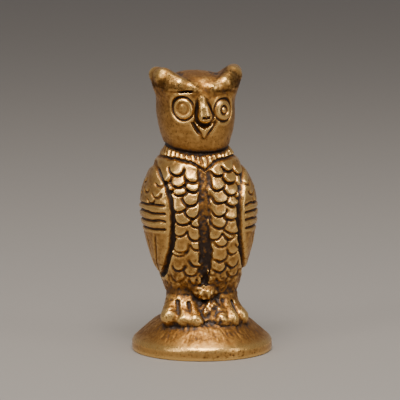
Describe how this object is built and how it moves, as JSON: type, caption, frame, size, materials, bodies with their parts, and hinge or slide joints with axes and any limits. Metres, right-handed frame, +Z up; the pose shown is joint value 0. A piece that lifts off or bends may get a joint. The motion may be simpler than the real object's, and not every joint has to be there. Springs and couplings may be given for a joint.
{
  "type": "owl figurine",
  "caption": "Upright cast owl figurine with folded wings, a scaled breast, horn-like ear tufts and large ringed eyes, standing on a domed round foot.",
  "frame": {"origin": "centre of the round foot, on the surface the figurine stands on", "axes": "+Z up; the owl faces -Y, so its own left side is +X"},
  "size_m": [0.0482, 0.0482, 0.0985],
  "materials": {
    "antique_brass": "hand-rubbed antique: polished high spots, dark brown patina in the recesses"
  },
  "bodies": {
    "root": {"base": "antique_brass", "left_foot": "antique_brass", "right_foot": "antique_brass", "body": "antique_brass", "tail": "antique_brass", "left_wing": "antique_brass", "right_wing": "antique_brass", "collar": "antique_brass", "head": "antique_brass", "left_ear_tuft": "antique_brass", "right_ear_tuft": "antique_brass", "left_eye": "antique_brass", "right_eye": "antique_brass", "upper_beak": "antique_brass", "lower_beak": "antique_brass"}
  },
  "joints": []
}
